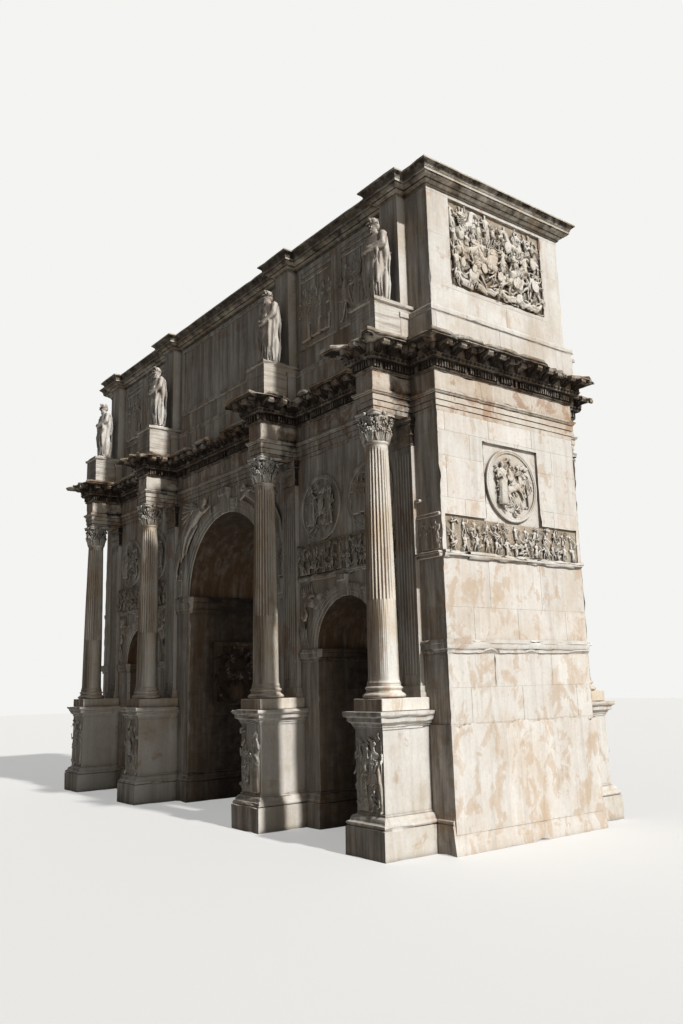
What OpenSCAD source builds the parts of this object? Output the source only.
/* [Walls] */
// Length of the walls from end to end
wall_w = 25560; // [24000:20:27000]
// Thickness of the walls from face to face
wall_d = 6500; // [5900:20:7000]
// Clear width of the central passage
central_open_w = 6460; // [6100:20:6800]
// Clear width of each side passage
side_open_w = 3400; // [3000:20:3700]
// Width of each inner pier
inner_pier_w = 3140; // [3000:20:3300]

/* [Levels] */
// Top of the plain plinth course
plinth_h = 800; // [600:10:950]
// Top of the base mouldings
base_h = 1170; // [1050:10:1300]
// Top of the pedestals
pedestal_h = 3940; // [3500:10:4300]
// Springing of the side arches
side_spring_z = 5950; // [5500:10:6200]
// Height of the side imposts
side_impost_h = 410; // [300:10:500]
// Springing of the central arch
central_spring_z = 8650; // [8300:10:8750]
// Height of the central imposts
central_impost_h = 700; // [500:10:800]
// Top of the ledges under the relief bands
ledge_z = 8570; // [8500:10:8700]
// Height of the relief bands over the side arches
band_h = 1040; // [900:10:1100]
// Underside of the architrave
architrave_z = 12910; // [12800:10:13200]
// Height of the architrave
architrave_h = 670; // [500:10:800]
// Height of the frieze course
frieze_h = 590; // [450:10:800]
// Height of the main cornice
cornice_h = 980; // [900:10:1150]
// Height of the attic base
attic_base_h = 1190; // [1000:10:1400]
// Height of the attic walls
attic_wall_h = 4150; // [3900:10:4500]
// Height of the attic cornice
attic_cornice_h = 620; // [500:10:800]

/* [Columns] */
// Distance of the inner columns from the middle
inner_col_x = 4880; // [4700:10:5000]
// Distance of the outer columns from the middle
outer_col_x = 11300; // [11000:10:11500]
// Distance of the column axes from the wall face
col_out = 1200; // [1100:10:1300]
// Radius of a shaft at its foot
shaft_r = 460; // [420:5:500]
// Radius of a shaft at its neck
neck_r = 365; // [340:5:390]
// Height of a column's square block
col_block_h = 360; // [250:10:450]
// Height of a column's round base
col_base_h = 410; // [350:10:500]
// Height of a capital
capital_h = 930; // [850:10:1050]
// Flutes round a shaft
flutes = 24; // [16:2:28]
// Half width of a pedestal's die
die_hw = 620; // [560:10:680]
// How far a pedestal's plinth and cap stand out from its die
pedestal_proj = 270; // [200:10:300]
// Half width of a pilaster
pilaster_hw = 440; // [400:10:480]
// How far a pilaster stands out from the wall
pilaster_proj = 160; // [120:10:220]

/* [Entablature] */
// How far the architrave's top stands out from its foot
architrave_proj = 150; // [100:5:200]
// How far the main cornice stands out from the wall
cornice_proj = 870; // [700:10:950]
// Width of a bracket under the corona
bracket_w = 190; // [150:10:230]
// Spacing of the brackets
bracket_pitch = 460; // [400:10:600]
// Width of a dentil
dentil_w = 120; // [90:5:130]
// Spacing of the dentils
dentil_pitch = 200; // [180:5:260]

/* [Attic] */
// How far the attic base stands out from the attic walls
attic_base_proj = 180; // [120:10:250]
// How far the backing piers stand out from the attic walls
backing_proj = 360; // [250:10:450]
// Half width of a backing pier
backing_hw = 440; // [400:10:500]
// How far the attic cornice stands out
attic_cornice_proj = 530; // [400:10:650]
// Half width of a statue's block
block_hw = 610; // [520:10:640]
// How far a statue's block stands out from the backing pier
block_out = 1230; // [1100:10:1300]
// Height of a statue's block above the cornice
block_h = 1400; // [1200:10:1500]
// Height of a statue
statue_h = 3100; // [2700:10:3300]

/* [Reliefs] */
// Outer radius of a roundel
roundel_r = 1150; // [1000:10:1180]
// Distance of a roundel's centre from the middle of its bay
roundel_dx = 1400; // [1250:10:1450]
// Thickness of the relief slabs
slab_t = 70; // [50:5:120]
// Width of an archivolt
archivolt_w = 560; // [400:10:600]
// Width of a side archivolt
side_archivolt_w = 430; // [300:10:460]

/* [Hidden] */
$fn = 48;
eps = 1;
hw = wall_w / 2;
hd = wall_d / 2;
central_hw = central_open_w / 2;
side_in_x = central_hw + inner_pier_w;
side_out_x = side_in_x + side_open_w;
side_mid_x = (side_in_x + side_out_x) / 2;
side_r = side_open_w / 2;
col_y = hd + col_out;
bay_mid_x = (inner_col_x + outer_col_x) / 2;
col_xs = [-outer_col_x, -inner_col_x, inner_col_x, outer_col_x];
pier_top_z = architrave_z;
frieze_z = architrave_z + architrave_h;
cornice_z = frieze_z + frieze_h;
cornice_top_z = cornice_z + cornice_h;
attic_wall_z = cornice_top_z + attic_base_h;
attic_cornice_z = attic_wall_z + attic_wall_h;
top_z = attic_cornice_z + attic_cornice_h;
col_foot_z = pedestal_h + col_block_h;
shaft_z = col_foot_z + col_base_h;
capital_z = architrave_z - capital_h;
shaft_h = capital_z - shaft_z;
ressaut_hw = neck_r + 10;
ressaut_y = col_y + ressaut_hw;
backing_y = hd + backing_proj;
bay_in_x = inner_col_x + pilaster_hw;
bay_out_x = outer_col_x - pilaster_hw;
band_z = ledge_z;
band_top_z = band_z + band_h;
band_cap_h = 70;
roundel_slab_hw = roundel_r + 60;
roundel_z = band_top_z + band_cap_h + roundel_slab_hw;

// Marble tones
warm_marble = [0.86, 0.82, 0.75];
pale_marble = [0.90, 0.87, 0.80];
grey_marble = [0.62, 0.60, 0.58];
dark_marble = [0.36, 0.33, 0.31];

function backwards(list) = [for (i = [len(list) - 1 : -1 : 0]) list[i]];

// Quarter or half round steps of a moulding, from [out, z] to [out, z]
function round_out(a, b, n = 4) = [for (i = [0 : n]) let (t = 90 * i / n)
    [a[0] + (b[0] - a[0]) * sin(t), a[1] + (b[1] - a[1]) * (1 - cos(t))]];
function round_in(a, b, n = 4) = [for (i = [0 : n]) let (t = 90 * i / n)
    [a[0] + (b[0] - a[0]) * (1 - cos(t)), a[1] + (b[1] - a[1]) * sin(t)]];
function bulge(out, z0, z1, r, n = 6) = [for (i = [0 : n]) let (t = 180 * i / n - 90)
    [out + r * cos(t), (z0 + z1) / 2 + (z1 - z0) / 2 * sin(t)]];

// A block whose four sides carry one moulding, with mitred corners.
// The profile is a list of [out, z], from the bottom up.
module moulded_block(x0, x1, y0, y1, profile) {
    reach = max([for (p = profile) p[0]]) + 10;
    intersection() {
        translate([0, y1 + reach, 0])
            rotate([90, 0, 0])
                linear_extrude(y1 - y0 + 2 * reach)
                    polygon(concat([for (p = profile) [x1 + p[0], p[1]]],
                        backwards([for (p = profile) [x0 - p[0], p[1]]])));
        translate([x0 - reach, 0, 0])
            rotate([90, 0, 90])
                linear_extrude(x1 - x0 + 2 * reach)
                    polygon(concat([for (p = profile) [y1 + p[0], p[1]]],
                        backwards([for (p = profile) [y0 - p[0], p[1]]])));
    }
}

// The back face is the front face turned half round
module on_back() {
    rotate([0, 0, 180]) children();
}

module at_both_ends() {
    children();
    mirror([1, 0, 0]) children();
}

module on_both_faces() {
    children();
    mirror([0, 1, 0]) children();
}

module box(x0, x1, y0, y1, z0, z1) {
    translate([x0, y0, z0]) cube([x1 - x0, y1 - y0, z1 - z0]);
}

// A course round the walls that breaks forward over each column
module broken_course(half_x, half_y, break_hw, break_y, profile) {
    union() {
        moulded_block(-half_x, half_x, -half_y, half_y, profile);
        on_both_faces()
            for (x = col_xs)
                moulded_block(x - break_hw, x + break_hw, -break_y, -half_y + 300, profile);
    }
}

// Piers and vaults

// The end walls are sunk for the relief band and for the square round the roundel
end_recess_d = 90;
end_band_hw = hd - 170;
end_square_hw = roundel_slab_hw + 90;

module outer_piers() {
    color(warm_marble)
        at_both_ends()
            difference() {
                box(side_out_x, hw, -hd, hd, base_h, pier_top_z);
                box(hw - end_recess_d, hw + eps, -end_band_hw, end_band_hw, band_z,
                    band_top_z + band_cap_h);
                box(hw - end_recess_d, hw + eps, -end_square_hw, end_square_hw,
                    band_top_z, roundel_z + end_square_hw);
            }
}

module inner_piers() {
    color(warm_marble)
        at_both_ends()
            box(central_hw, side_in_x, -hd, hd, base_h, pier_top_z);
}

plinth_proj = 150;
plinth_profile = concat(
    [[plinth_proj, 0], [plinth_proj, plinth_h]],
    bulge(plinth_proj - 60, plinth_h, plinth_h + 130, 50, 4),
    [[plinth_proj - 70, plinth_h + 150]],
    round_in([plinth_proj - 70, plinth_h + 150], [10, base_h - 60]),
    [[30, base_h - 50], [30, base_h]]);

module pier_plinth(x0, x1) {
    moulded_block(x0, x1, -hd, hd, plinth_profile);
}

module pier_plinths() {
    color(warm_marble)
        difference() {
            at_both_ends() {
                pier_plinth(central_hw, side_in_x);
                pier_plinth(side_out_x, hw);
            }
            for (x = col_xs)
                on_both_faces()
                    box(x - die_hw - pedestal_proj, x + die_hw + pedestal_proj,
                        -hd - 2 * plinth_proj, -hd, -eps, base_h + eps);
        }
}

module side_vaults() {
    color(warm_marble)
        at_both_ends()
            difference() {
                box(side_in_x, side_out_x, -hd, hd, side_spring_z, pier_top_z);
                translate([side_mid_x, hd + eps, side_spring_z])
                    rotate([90, 0, 0])
                        cylinder(r = side_r, h = wall_d + 2 * eps, $fn = 96);
            }
}

module central_vault() {
    color(warm_marble)
        difference() {
            box(-central_hw, central_hw, -hd, hd, central_spring_z, pier_top_z);
            translate([0, hd + eps, central_spring_z])
                rotate([90, 0, 0])
                    cylinder(r = central_hw, h = wall_d + 2 * eps, $fn = 120);
        }
}

// Imposts

function impost_profile(z, h, out) = concat(
    [[0, z - h], [out * 0.35, z - h], [out * 0.35, z - h * 0.78]],
    round_out([out * 0.35, z - h * 0.78], [out * 0.8, z - h * 0.42]),
    [[out * 0.8, z - h * 0.34], [out, z - h * 0.3], [out, z], [0, z]]);

side_impost_out = 130;
central_impost_out = 150;

module pilaster_slots() {
    for (x = col_xs)
        on_both_faces()
            box(x - pilaster_hw, x + pilaster_hw, -hd - 600, -hd, 0, architrave_z);
}

module side_imposts() {
    profile = impost_profile(side_spring_z, side_impost_h, side_impost_out);
    color(pale_marble)
        at_both_ends() {
            difference() {
                moulded_block(side_out_x, hw, -hd, hd, profile);
                box(side_out_x, hw, -hd, hd, 0, architrave_z);
                pilaster_slots();
            }
            difference() {
                moulded_block(central_hw, side_in_x, -hd, hd, profile);
                box(central_hw - 600, side_in_x, -hd, hd, 0, architrave_z);
                box(central_hw - 600, inner_col_x, -hd - 600, hd + 600, 0, architrave_z);
                pilaster_slots();
            }
        }
}

module central_imposts() {
    profile = impost_profile(central_spring_z, central_impost_h, central_impost_out);
    color(pale_marble)
        at_both_ends()
            difference() {
                moulded_block(central_hw, side_in_x, -hd, hd, profile);
                box(central_hw, side_in_x + 600, -hd, hd, 0, architrave_z);
                box(inner_col_x, side_in_x + 600, -hd - 600, hd + 600, 0, architrave_z);
                pilaster_slots();
            }
}

// Pedestals

cap_h = 490;
cap_z = pedestal_h - cap_h;
pedestal_profile = concat(
    [[pedestal_proj - 10, 0], [pedestal_proj - 10, plinth_h]],
    bulge(pedestal_proj - 80, plinth_h, plinth_h + 130, 60, 4),
    [[pedestal_proj - 110, plinth_h + 150]],
    round_in([pedestal_proj - 110, plinth_h + 150], [20, base_h - 60]),
    [[30, base_h - 50], [30, base_h], [0, base_h], [0, cap_z],
     [30, cap_z], [30, cap_z + 60]],
    round_in([60, cap_z + 70], [150, cap_z + 190]),
    [[180, cap_z + 200], [180, cap_z + 320], [200, cap_z + 330]],
    round_out([200, cap_z + 330], [pedestal_proj, cap_z + 410]),
    [[pedestal_proj, pedestal_h]]);

module pedestals() {
    color(pale_marble)
        for (x = col_xs)
            difference() {
                moulded_block(x - die_hw, x + die_hw, -col_y - die_hw, -hd + 500,
                    pedestal_profile);
                box(x - 2 * die_hw, x + 2 * die_hw, -hd, hd, -eps, pedestal_h + eps);
            }
}

module front_pedestals() { pedestals(); }
module back_pedestals() { on_back() pedestals(); }

// Columns

col_block_hw = shaft_r + 185;
base_torus_r = col_block_hw - 10;
base_profile = concat(
    [[0, 0], [base_torus_r - 70, 0]],
    bulge(base_torus_r - 75, 0, 150, 75),
    [[base_torus_r - 95, 155]],
    round_in([base_torus_r - 95, 165], [shaft_r + 45, 240]),
    [[shaft_r + 60, 250]],
    bulge(shaft_r + 50, 250, 340, 45),
    [[shaft_r + 40, 345], [shaft_r + 40, col_base_h], [0, col_base_h]]);

module column_bases() {
    color(pale_marble)
        for (x = col_xs)
            union() {
                box(x - col_block_hw, x + col_block_hw, -col_y - col_block_hw, -hd,
                    pedestal_h, col_foot_z);
                translate([x, -col_y, col_foot_z])
                    rotate_extrude($fn = 64) polygon(base_profile);
            }
}

module front_column_bases() { column_bases(); }
module back_column_bases() { on_back() column_bases(); }

// Radius of a shaft at a share of its height, with a slight swelling
function shaft_radius(t) = shaft_r + (neck_r - shaft_r) * (0.35 * t + 0.65 * t * t);

// Shares of the height where the outline turns; the lower one is the top of the cabling
shaft_steps = [0.33, 0.7];

shaft_profile = concat(
    [[0, 0], [shaft_r + 35, 0], [shaft_r + 35, 60]],
    round_in([shaft_r + 35, 60], [shaft_r, 150], 3),
    [for (t = shaft_steps) [shaft_radius(t), shaft_h * t]],
    [[neck_r, shaft_h - 150], [neck_r + 20, shaft_h - 90]],
    bulge(neck_r + 20, shaft_h - 80, shaft_h, 25, 4),
    [[0, shaft_h]]);

// The flutes are open above the cabling and lean with the taper
flute_top_gap = 240;
flute_z1 = shaft_h - flute_top_gap;
cable_z = shaft_h * shaft_steps[0];
flute_r0 = 42;
flute_r1 = 33;

module flute_cut(a, z0, z1, r0, r1) {
    d0 = shaft_radius(z0 / shaft_h) + 6;
    d1 = shaft_radius(z1 / shaft_h) + 6;
    lean = atan((d0 - d1) / (z1 - z0));
    rotate([0, 0, a])
        translate([d0, 0, z0])
            rotate([0, -lean, 0])
                cylinder(r1 = r0, r2 = r1, h = (z1 - z0) / cos(lean), $fn = 16);
}

module shaft() {
    difference() {
        rotate_extrude($fn = 72) polygon(shaft_profile);
        for (i = [0 : flutes - 1])
            flute_cut(360 * (i + 0.5) / flutes, cable_z, flute_z1, flute_r0, flute_r1);
    }
}

module column_shafts() {
    color(pale_marble)
        for (x = col_xs)
            translate([x, -col_y, shaft_z]) shaft();
}

module front_column_shafts() { column_shafts(); }
module back_column_shafts() { on_back() column_shafts(); }

// Capitals

abacus_hw = 500;
abacus_h = 130;
bell_h = capital_h - abacus_h;
bell_profile = concat(
    [[0, 0], [neck_r - 15, 0], [neck_r - 15, bell_h * 0.6]],
    round_in([neck_r - 15, bell_h * 0.6], [neck_r + 85, bell_h], 4),
    [[0, bell_h]]);

// A leaf of the capital: it climbs the bell and rolls out at its tip
function leaf_profile(h, foot, out) = [[neck_r - 70, 0], [neck_r + foot, 0],
    [neck_r + foot - 6, h * 0.55], [neck_r + out * 0.6, h * 0.82], [neck_r + out, h * 0.86],
    [neck_r + out * 0.95, h * 0.97], [neck_r + out * 0.5, h], [neck_r - 70, h * 0.85]];

module leaf_ring(n, turn, h, foot, out, width) {
    for (i = [0 : n - 1])
        rotate([0, 0, turn + 360 * i / n - width / 2])
            rotate_extrude(angle = width, $fn = 48) polygon(leaf_profile(h, foot, out));
}

module abacus() {
    cut_r = abacus_hw * 3;
    linear_extrude(abacus_h)
        difference() {
            square(2 * abacus_hw, center = true);
            for (a = [0 : 90 : 270])
                rotate([0, 0, a])
                    translate([abacus_hw * 0.84 + sqrt(cut_r * cut_r - abacus_hw * abacus_hw * 0.8), 0])
                        circle(r = cut_r, $fn = 96);
        }
}

module volutes() {
    for (a = [45 : 90 : 315])
        rotate([0, 0, a])
            translate([neck_r + 120, 0, bell_h - 105])
                rotate([90, 0, 0])
                    cylinder(r = 125, h = 110, center = true, $fn = 32);
}

module capital() {
    union() {
        rotate_extrude($fn = 64) polygon(bell_profile);
        translate([0, 0, bell_h]) abacus();
        leaf_ring(8, 22.5, bell_h * 0.42, neck_r * 0.088, neck_r * 0.25, 37);
        leaf_ring(8, 0, bell_h * 0.74, neck_r * 0.033, neck_r * 0.32, 30);
        volutes();
    }
}

module column_capitals() {
    color(pale_marble)
        for (x = col_xs)
            translate([x, -col_y, capital_z]) capital();
}

module front_column_capitals() { column_capitals(); }
module back_column_capitals() { on_back() column_capitals(); }

// Pilasters

pilaster_y = hd + pilaster_proj;

module pilasters() {
    pitch = 2 * pilaster_hw / 7;
    color(warm_marble)
        for (x = col_xs)
            difference() {
                union() {
                    box(x - pilaster_hw, x + pilaster_hw, -pilaster_y, -hd, col_foot_z, capital_z);
                    box(x - pilaster_hw - 90, x + pilaster_hw + 90, -pilaster_y - 90, -hd,
                        col_foot_z, col_foot_z + 150);
                    box(x - pilaster_hw - 50, x + pilaster_hw + 50, -pilaster_y - 50, -hd,
                        col_foot_z + 150, col_foot_z + 330);
                }
                for (i = [-2.5 : 2.5])
                    translate([x + i * pitch, -pilaster_y - 8, shaft_z + flute_top_gap])
                        cylinder(r = 38, h = shaft_h - 2 * flute_top_gap, $fn = 16);
            }
}

module front_pilasters() { pilasters(); }
module back_pilasters() { on_back() pilasters(); }

module pilaster_capitals() {
    profile = [[0, capital_z], [25, capital_z], [25, capital_z + 60], [0, capital_z + 70],
        [0, capital_z + capital_h * 0.3], [45, capital_z + capital_h * 0.38],
        [10, capital_z + capital_h * 0.42], [10, capital_z + capital_h * 0.62],
        [70, capital_z + capital_h * 0.72], [30, capital_z + capital_h * 0.76],
        [90, capital_z + capital_h - abacus_h], [100, capital_z + capital_h - abacus_h],
        [100, architrave_z]];
    color(pale_marble)
        on_both_faces()
            for (x = col_xs)
                difference() {
                    moulded_block(x - pilaster_hw, x + pilaster_hw, -pilaster_y, -hd + 300,
                        profile);
                    box(x - 2 * pilaster_hw, x + 2 * pilaster_hw, -hd, hd, capital_z - eps,
                        architrave_z + eps);
                }
}

// Archivolts and keystones

archivolt_out = 90;
side_key_w = 420;
central_key_w = 640;
key_out = 260;
// How much wider a keystone is at its top than at its foot
key_spread = 40;

// Section of an archivolt: [out from the opening, out from the wall]
function archivolt_section(w, out) = [[0, -40], [0, out * 0.45], [w * 0.3, out * 0.45],
    [w * 0.32, out * 0.65], [w * 0.62, out * 0.65], [w * 0.64, out * 0.8], [w * 0.8, out * 0.85],
    [w * 0.86, out], [w, out], [w, -40]];

module archivolt(r, w, spring_z, x) {
    translate([x, -hd, spring_z])
        difference() {
            rotate([90, 0, 0])
                rotate_extrude(angle = 180, $fn = 240)
                    translate([r, 0]) polygon(archivolt_section(w, archivolt_out));
            box(-r - w - 50, r + w + 50, 0, 100, -100, r + w + 50);
        }
}

module side_archivolts() {
    color(warm_marble)
        on_both_faces()
            at_both_ends()
                difference() {
                    archivolt(side_r, side_archivolt_w, side_spring_z, side_mid_x);
                    keystone_cut(side_mid_x, side_spring_z + side_r, side_key_w);
                }
}

module central_archivolts() {
    color(warm_marble)
        on_both_faces()
            difference() {
                archivolt(central_hw, archivolt_w, central_spring_z, 0);
                keystone_cut(0, central_spring_z + central_hw, central_key_w);
            }
}

// Room for a keystone in an archivolt
module keystone_cut(x, z, w) {
    depth = 2 * key_out;
    translate([x, -hd + key_out, z - key_out])
        rotate([90, 0, 0])
            linear_extrude(depth)
                polygon([[(key_spread - w) / 2, 0], [(w - key_spread) / 2, 0],
                    [(w + key_spread) / 2, 6 * key_out], [-(w + key_spread) / 2, 6 * key_out]]);
}

// A keystone scrolls forward as it rises
module keystone(x, z, w, h) {
    foot_out = 110;
    foot_w = w - key_spread;
    top_w = w + key_spread;
    intersection() {
        translate([x, -hd, z])
            rotate([90, 0, 0])
                linear_extrude(key_out + 100)
                    polygon([[-foot_w / 2, 0], [foot_w / 2, 0], [top_w / 2, h], [-top_w / 2, h]]);
        translate([x - w, 0, z])
            rotate([90, 0, 90])
                linear_extrude(2 * w)
                    polygon(concat([[-hd, 0], [-hd - foot_out, 0]],
                        round_in([-hd - foot_out, 0], [-hd - key_out, h * 0.75]),
                        [[-hd - key_out, h], [-hd, h]]));
    }
}

module keystones() {
    color(pale_marble)
        on_both_faces() {
            at_both_ends()
                keystone(side_mid_x, side_spring_z + side_r, side_key_w,
                    ledge_z - ledge_h - side_spring_z - side_r);
            keystone(0, central_spring_z + central_hw, central_key_w,
                architrave_z - central_spring_z - central_hw);
        }
}

// Relief bands with their ledges

ledge_h = 220;
ledge_out = 130;

module band(x0, x1) {
    box(x0, x1, -hd - slab_t, -hd, band_z, band_top_z);
    box(x0, x1, -hd - slab_t - 25, -hd, band_top_z, band_top_z + band_cap_h);
}

module face_bands() {
    color(pale_marble)
        at_both_ends()
            union() band(bay_in_x, bay_out_x);
}

module front_relief_bands() { face_bands(); }
module back_relief_bands() { on_back() face_bands(); }

module end_relief_bands() {
    floor_x = hw - end_recess_d;
    color(pale_marble)
        at_both_ends()
            box(floor_x, floor_x + slab_t, -end_band_hw, end_band_hw, band_z, band_top_z);
}

function ledge_profile(base) = concat(
    [[base, ledge_z - ledge_h], [base + 40, ledge_z - ledge_h]],
    round_out([40 + base, ledge_z - ledge_h], [base + ledge_out * 0.8, ledge_z - 90]),
    [[base + ledge_out, ledge_z - 80], [base + ledge_out, ledge_z], [base, ledge_z]]);

module band_ledges() {
    color(pale_marble)
        at_both_ends() {
            on_both_faces()
                translate([bay_in_x, 0, 0])
                    rotate([90, 0, 90])
                        linear_extrude(bay_out_x - bay_in_x)
                            polygon([for (p = ledge_profile(0)) [-hd - p[0], p[1]]]);
            translate([0, hd, 0])
                rotate([90, 0, 0])
                    linear_extrude(wall_d)
                        polygon([for (p = ledge_profile(0)) [hw + p[0], p[1]]]);
        }
}

// Roundels in plain square slabs

roundel_frame_w = 150;
roundel_section = concat(
    [[0, 0], [roundel_r, 0], [roundel_r, 120]],
    round_in([roundel_r, 120], [roundel_r - 60, 170], 3),
    [[roundel_r - roundel_frame_w, 110], [roundel_r - roundel_frame_w, 70], [0, 70]]);

module roundel() {
    union() {
        rotate([90, 0, 0])
            rotate_extrude($fn = 96) polygon(roundel_section);
        box(-roundel_slab_hw, roundel_slab_hw, -30, 0, -roundel_slab_hw, roundel_slab_hw);
    }
}

module face_roundels() {
    color(pale_marble)
        for (side = [-1, 1], dx = [-1, 1])
            translate([side * bay_mid_x + dx * roundel_dx, -hd, roundel_z]) roundel();
}

module front_roundels() { face_roundels(); }
module back_roundels() { on_back() face_roundels(); }

module end_roundels() {
    color(pale_marble)
        at_both_ends()
            translate([hw - end_recess_d, 0, roundel_z]) rotate([0, 0, 90]) roundel();
}

// Entablature

architrave_profile = [[0, architrave_z], [0, architrave_z + architrave_h * 0.22],
    [25, architrave_z + architrave_h * 0.23], [25, architrave_z + architrave_h * 0.5],
    [55, architrave_z + architrave_h * 0.51], [55, architrave_z + architrave_h * 0.78],
    [architrave_proj, architrave_z + architrave_h * 0.9], [architrave_proj, frieze_z]];

module architrave() {
    color(warm_marble)
        broken_course(hw, hd, ressaut_hw, ressaut_y, architrave_profile);
}

frieze_out = 40;

module frieze_course() {
    color(warm_marble)
        broken_course(hw, hd, ressaut_hw, ressaut_y,
            [[frieze_out, frieze_z], [frieze_out, cornice_z]]);
}

corona_z = cornice_z + cornice_h * 0.52;
bed_h = cornice_h * 0.16;
dentil_h = cornice_h * 0.16;
bracket_z = cornice_z + bed_h + dentil_h;
dentil_out = frieze_out + 160;
bracket_out = cornice_proj - 120;

bed_profile = concat(
    [[frieze_out, cornice_z]],
    round_out([frieze_out + 20, cornice_z], [frieze_out + 90, cornice_z + bed_h]),
    [[frieze_out + 90, bracket_z], [dentil_out + 20, bracket_z], [dentil_out + 20, corona_z]]);
corona_profile = concat(
    [[cornice_proj - 90, corona_z], [cornice_proj - 90, corona_z + cornice_h * 0.22],
     [cornice_proj - 60, corona_z + cornice_h * 0.22]],
    round_in([cornice_proj - 60, corona_z + cornice_h * 0.22],
        [cornice_proj, corona_z + cornice_h * 0.4]),
    [[cornice_proj, cornice_top_z - 60], [cornice_proj - 60, cornice_top_z]]);

// Plan of the walls with the breaks over the columns, on one side of the middle
function break_points(x, hx, y_wall, y_break) =
    [[x - hx, y_wall], [x - hx, y_break], [x + hx, y_break], [x + hx, y_wall]];
function plan(out) = let (
        front = concat([[-hw - out, -hd - out]],
            [for (x = col_xs) each break_points(x, ressaut_hw + out, -hd - out, -ressaut_y - out)],
            [[hw + out, -hd - out]]))
    concat(front, [for (p = front) [-p[0], -p[1]]]);

// Teeth standing out of each straight run of a plan, evenly spaced in it.
// A run stops short of an inner corner, where the next run's teeth need the room.
function inner_corner(a, b, c) = (b[0] - a[0]) * (c[1] - b[1]) < (b[1] - a[1]) * (c[0] - b[0]);
function run_teeth(a, b, keep_a, keep_b, pitch, w, out) = let (
        u = (b - a) / norm(b - a),
        v = [u[1], -u[0]],
        free = norm(b - a) - keep_a - keep_b,
        n = max(1, floor(free / pitch)))
    [for (i = [0 : n - 1]) each let (m = a + u * (keep_a + (i + 0.5) * free / n))
        [m - u * w / 2, m - u * w / 2 + v * out, m + u * w / 2 + v * out, m + u * w / 2]];
function toothed(points, pitch, w, out) = let (n = len(points))
    [for (i = [0 : n - 1]) let (
        p = points[(i + n - 1) % n],
        a = points[i],
        b = points[(i + 1) % n],
        q = points[(i + 2) % n])
    each concat([a], run_teeth(a, b, inner_corner(p, a, b) ? out : 0,
        inner_corner(a, b, q) ? out : 0, pitch, w, out))];

module main_cornice() {
    color(dark_marble)
        union() {
            broken_course(hw, hd, ressaut_hw, ressaut_y, bed_profile);
            translate([0, 0, cornice_z + bed_h])
                linear_extrude(dentil_h)
                    polygon(toothed(plan(frieze_out + 80), dentil_pitch, dentil_w,
                        dentil_out - frieze_out - 80));
            translate([0, 0, bracket_z + 40])
                linear_extrude(corona_z - bracket_z - 40)
                    polygon(toothed(plan(dentil_out), bracket_pitch, bracket_w,
                        bracket_out - dentil_out));
            broken_course(hw, hd, ressaut_hw, ressaut_y, corona_profile);
        }
}

// Attic

attic_base_profile = concat(
    [[attic_base_proj, cornice_top_z], [attic_base_proj, attic_wall_z - 250],
     [attic_base_proj + 40, attic_wall_z - 240], [attic_base_proj + 40, attic_wall_z - 120]],
    round_in([attic_base_proj + 40, attic_wall_z - 120], [40, attic_wall_z]));

module attic_base() {
    color(warm_marble)
        broken_course(hw, hd, backing_hw, backing_y, attic_base_profile);
}

// Panels of the attic; the ones on the ends are sunk in the wall
panel_z0 = attic_wall_z + 800;
panel_z1 = attic_cornice_z - 130;
end_panel_z0 = panel_z0 + 150;
end_panel_hw = 2270;
end_panel_d = 160;

module attic_walls() {
    color(warm_marble)
        difference() {
            box(-hw, hw, -hd, hd, attic_wall_z, attic_cornice_z);
            at_both_ends()
                box(hw - end_panel_d, hw + eps, -end_panel_hw, end_panel_hw, end_panel_z0, panel_z1);
        }
}

module attic_piers() {
    color(pale_marble)
        on_both_faces()
            for (x = col_xs)
                box(x - backing_hw, x + backing_hw, -backing_y, -hd, attic_wall_z, attic_cornice_z);
}

attic_cornice_profile = concat(
    [[30, attic_cornice_z], [30, attic_cornice_z + attic_cornice_h * 0.1]],
    round_in([50, attic_cornice_z + attic_cornice_h * 0.12],
        [attic_cornice_proj - 190, attic_cornice_z + attic_cornice_h * 0.44], 5),
    [[attic_cornice_proj - 160, attic_cornice_z + attic_cornice_h * 0.45],
     [attic_cornice_proj - 160, attic_cornice_z + attic_cornice_h * 0.54]],
    round_in([attic_cornice_proj - 145, attic_cornice_z + attic_cornice_h * 0.56],
        [attic_cornice_proj - 40, attic_cornice_z + attic_cornice_h * 0.8]),
    [[attic_cornice_proj, attic_cornice_z + attic_cornice_h * 0.83], [attic_cornice_proj, top_z]]);

roof_in = 380;
roof_t = 150;
roof_edge_h = 60;
roof_rise = 80;
roof_slope_w = hd - roof_in - 270;

module attic_cornice() {
    color(grey_marble)
        difference() {
            broken_course(hw, hd, backing_hw, backing_y, attic_cornice_profile);
            box(-hw + roof_in, hw - roof_in, -hd + roof_in, hd - roof_in,
                top_z - roof_t, top_z + eps);
        }
}

module roof() {
    edge_z = top_z - roof_t + roof_edge_h;
    color(grey_marble)
        moulded_block(-hw + roof_in, hw - roof_in, -hd + roof_in, hd - roof_in,
            [[0, top_z - roof_t], [0, edge_z], [-roof_slope_w, edge_z + roof_rise]]);
}

// Relief slabs and framed panels on the attic

frame_w = 170;
frame_proj = 60;

// A framed slab on the plane y = 0, facing the front
module framed_panel(w, h, t) {
    difference() {
        box(-w / 2, w / 2, -t - frame_proj, 0, 0, h);
        box(-w / 2 + frame_w, w / 2 - frame_w, -t - frame_proj - eps, -t, frame_w, h - frame_w);
    }
}

attic_panel_w = 2280;

module attic_face_panels() {
    color(pale_marble)
        on_both_faces()
            for (side = [-1, 1], dx = [-1, 1])
                translate([side * bay_mid_x + dx * (attic_panel_w / 2 + 120), -hd, panel_z0])
                    framed_panel(attic_panel_w, panel_z1 - panel_z0, slab_t);
}

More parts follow.
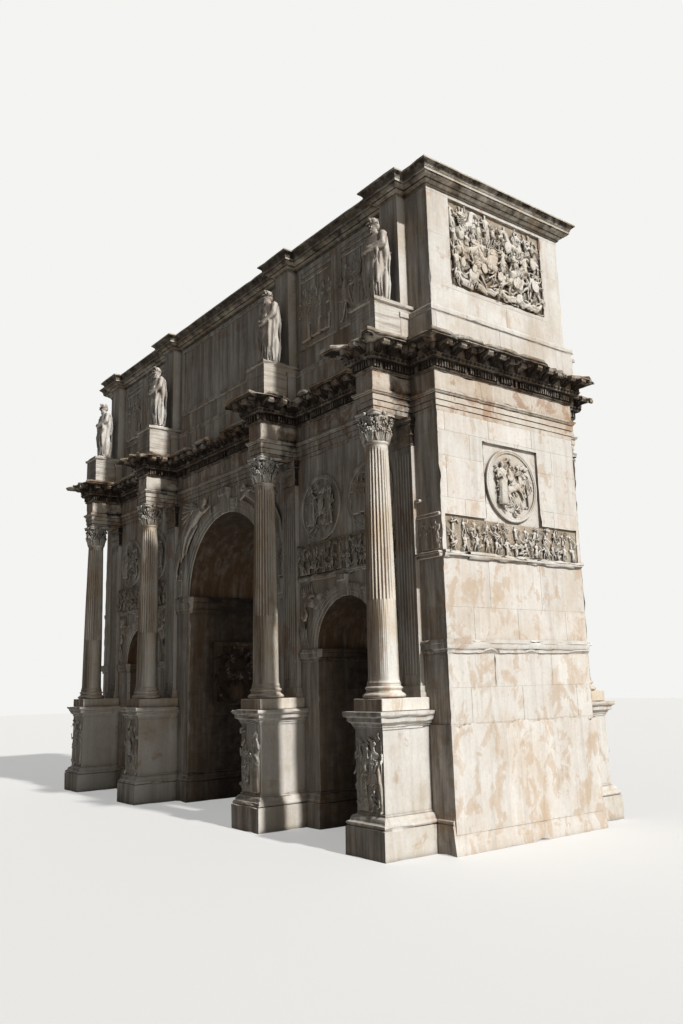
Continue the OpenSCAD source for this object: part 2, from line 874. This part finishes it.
module attic_end_panels() {
    floor_x = hw - end_panel_d;
    color(pale_marble)
        at_both_ends()
            box(floor_x, floor_x + slab_t, -end_panel_hw, end_panel_hw, end_panel_z0, panel_z1);
}

inscription_w = 2 * (inner_col_x - backing_hw) - 900;

module inscription_panels() {
    color(pale_marble)
        on_both_faces()
            translate([0, -hd, panel_z0])
                framed_panel(inscription_w, panel_z1 - panel_z0, slab_t);
}

// Statues on their blocks

block_y = backing_y + block_out;
block_top_z = cornice_top_z + block_h;
block_cap_h = 110;
block_cap_out = 70;
block_profile = [[0, cornice_top_z], [0, block_top_z - block_cap_h - 40],
    [block_cap_out, block_top_z - block_cap_h], [block_cap_out, block_top_z]];

module statue_blocks() {
    color(pale_marble)
        for (x = col_xs)
            difference() {
                moulded_block(x - block_hw, x + block_hw, -block_y, -hd, block_profile);
                broken_slot(x);
            }
}

// The attic base and the backing pier keep their own space behind a block
module broken_slot(x) {
    moulded_block(x - backing_hw, x + backing_hw, -backing_y, -hd + 300, attic_base_profile);
    moulded_block(-hw, hw, -hd, hd, attic_base_profile);
    box(x - backing_hw, x + backing_hw, -backing_y, 0, attic_wall_z - eps, attic_cornice_z);
    box(x - 2 * block_hw, x + 2 * block_hw, -hd, 0, attic_wall_z - eps, attic_cornice_z);
}

module front_statue_blocks() { statue_blocks(); }
module back_statue_blocks() { on_back() statue_blocks(); }

// A standing figure in a long cloak, hands folded in front
module statue(turn) {
    h = statue_h;
    foot_hw = h * 0.139;
    foot_h = 110;
    rotate([0, 0, turn])
        union() {
            hull() box(-foot_hw, foot_hw, -foot_hw * 0.77, foot_hw * 0.77, 0, foot_h);
            hull() {
                translate([0, 0, foot_h]) cylinder(r = h * 0.106, h = 40, $fn = 20);
                translate([0, 0, h * 0.5]) scale([1, 0.75, 1]) cylinder(r = h * 0.123, h = 40, $fn = 20);
                translate([0, 0, h * 0.76]) scale([1, 0.6, 1]) cylinder(r = h * 0.129, h = 60, $fn = 20);
                translate([0, 0, h * 0.845]) cylinder(r = h * 0.042, h = 30, $fn = 20);
            }
            translate([0, -20, h * 0.84]) cylinder(r = h * 0.031, h = h * 0.07, $fn = 20);
            translate([0, -30, h * 0.925]) scale([0.85, 1, 1.15]) sphere(r = h * 0.062, $fn = 24);
        }
}

module statues() {
    color(warm_marble)
        for (x = col_xs)
            translate([x, -backing_y - block_out * 0.52, block_top_z]) statue(0);
}

module front_statues() { statues(); }
module back_statues() { on_back() statues(); }

// Great relief panels in the central passage

passage_panel_w = 4200;
passage_panel_z0 = 3940;
passage_panel_h = 2750;

module passage_panels() {
    color(pale_marble)
        at_both_ends()
            translate([central_hw, 0, passage_panel_z0])
                rotate([0, 0, -90])
                    framed_panel(passage_panel_w, passage_panel_h, slab_t);
}

outer_piers();
inner_piers();
pier_plinths();
side_vaults();
central_vault();
side_imposts();
central_imposts();
front_pedestals();
back_pedestals();
front_column_bases();
back_column_bases();
front_column_shafts();
back_column_shafts();
front_column_capitals();
back_column_capitals();
front_pilasters();
back_pilasters();
pilaster_capitals();
side_archivolts();
central_archivolts();
keystones();
front_relief_bands();
back_relief_bands();
end_relief_bands();
band_ledges();
front_roundels();
back_roundels();
end_roundels();
architrave();
frieze_course();
main_cornice();
front_statue_blocks();
back_statue_blocks();
front_statues();
back_statues();
attic_base();
attic_walls();
attic_piers();
attic_face_panels();
attic_end_panels();
inscription_panels();
attic_cornice();
roof();
passage_panels();
